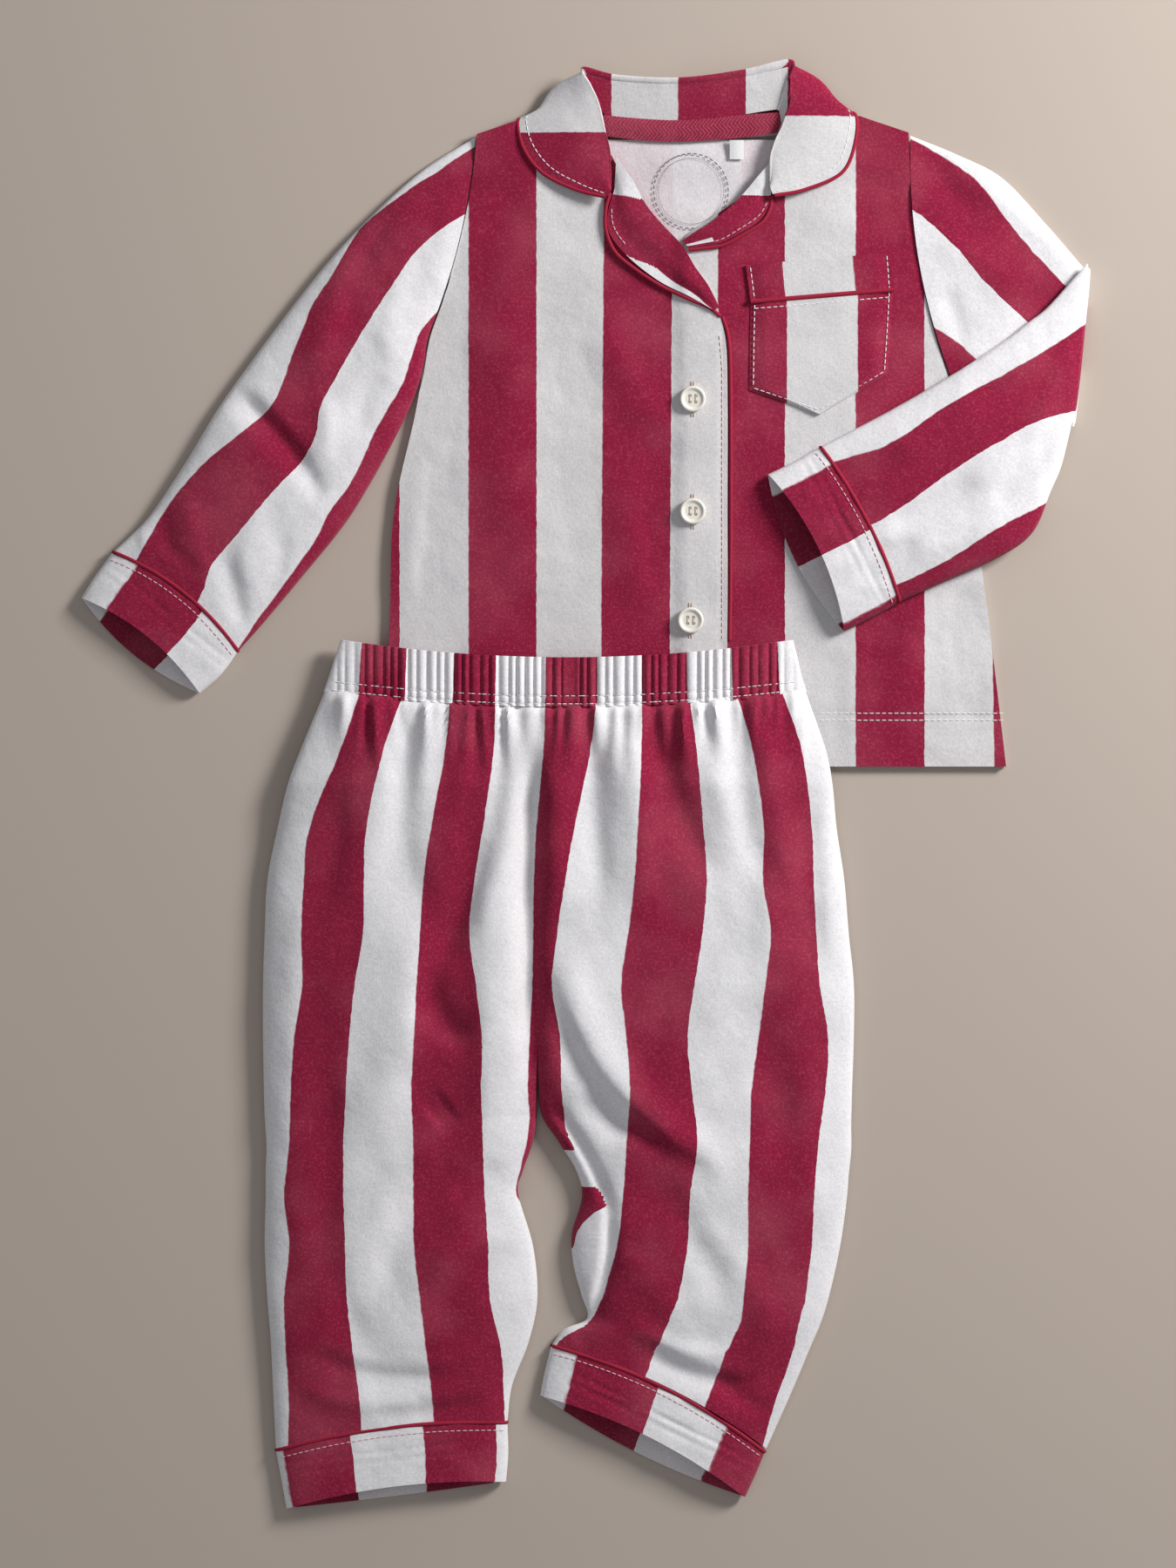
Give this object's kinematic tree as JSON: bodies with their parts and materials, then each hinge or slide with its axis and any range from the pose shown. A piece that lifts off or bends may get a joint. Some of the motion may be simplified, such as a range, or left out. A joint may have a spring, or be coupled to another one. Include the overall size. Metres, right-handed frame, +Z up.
{
  "type": "pyjama set",
  "caption": "Baby pyjama set laid flat: striped button jacket with notched collar, pocket and one sleeve folded over, with cuffed pull-on trousers lying on its hem.",
  "frame": {"origin": "on the surface it lies on, under the middle of the whole set", "axes": "+Y towards the collar, +X to the viewer's right, +Z up from the surface"},
  "size_m": [0.4628, 0.6616, 0.0157],
  "materials": {
    "striped_cotton": "soft cotton jersey, off-white with wide crimson stripes",
    "red_cotton": "soft cotton jersey, crimson",
    "red_piping": "corded cotton piping, crimson",
    "white_label": "smooth woven tape, white",
    "cream_button": "smooth cream plastic with a soft gloss"
  },
  "bodies": {
    "root": {"jacket_back": "striped_cotton", "jacket_front_left": "striped_cotton", "jacket_front_right": "striped_cotton", "sleeve_left": "striped_cotton", "sleeve_right": "striped_cotton", "cuff_left": "striped_cotton", "cuff_right": "striped_cotton", "piping_cuff_left": "red_piping", "piping_cuff_right": "red_piping", "collar": "striped_cotton", "piping_collar_left": "red_piping", "piping_collar_right": "red_piping", "lapel_left": "red_cotton", "lapel_right": "red_cotton", "piping_button_edge": "red_piping", "piping_lapel_left": "red_piping", "piping_lapel_right": "red_piping", "neck_tape": "red_cotton", "size_tab": "white_label", "pocket": "striped_cotton", "pocket_band": "striped_cotton", "piping_pocket": "red_piping", "button_1": "cream_button", "button_2": "cream_button", "button_3": "cream_button", "trouser_front_left": "striped_cotton", "trouser_front_right": "striped_cotton", "trouser_back_left": "striped_cotton", "trouser_back_right": "striped_cotton", "waistband": "striped_cotton", "leg_cuff_left": "striped_cotton", "leg_cuff_right": "striped_cotton", "piping_leg_left": "red_piping", "piping_leg_right": "red_piping"}
  },
  "joints": []
}
